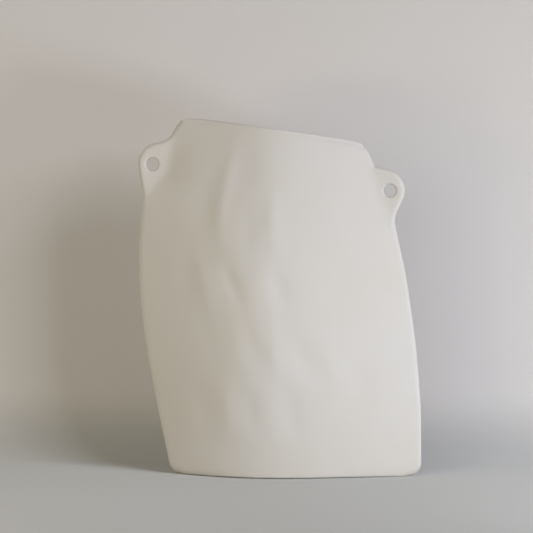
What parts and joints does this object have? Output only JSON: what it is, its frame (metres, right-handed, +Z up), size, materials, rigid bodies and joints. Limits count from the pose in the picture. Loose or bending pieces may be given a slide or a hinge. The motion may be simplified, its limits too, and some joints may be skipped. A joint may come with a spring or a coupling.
{
  "type": "pillow vase",
  "caption": "Flattened, pillow-shaped ceramic vase with a slanting slot mouth and a small pierced lug on each shoulder.",
  "frame": {"origin": "middle of the foot, on the ground, in the plane of the side seams", "axes": "+Z up, +X to the right along the mouth, the front faces -Y; the side seams lie in the XZ plane"},
  "size_m": [0.2219, 0.0774, 0.279],
  "materials": {
    "bisque": "unglazed matte white bisque"
  },
  "bodies": {
    "root": {"front_slab": "bisque", "back_slab": "bisque", "base_slab": "bisque", "left_lug": "bisque", "right_lug": "bisque"}
  },
  "joints": []
}
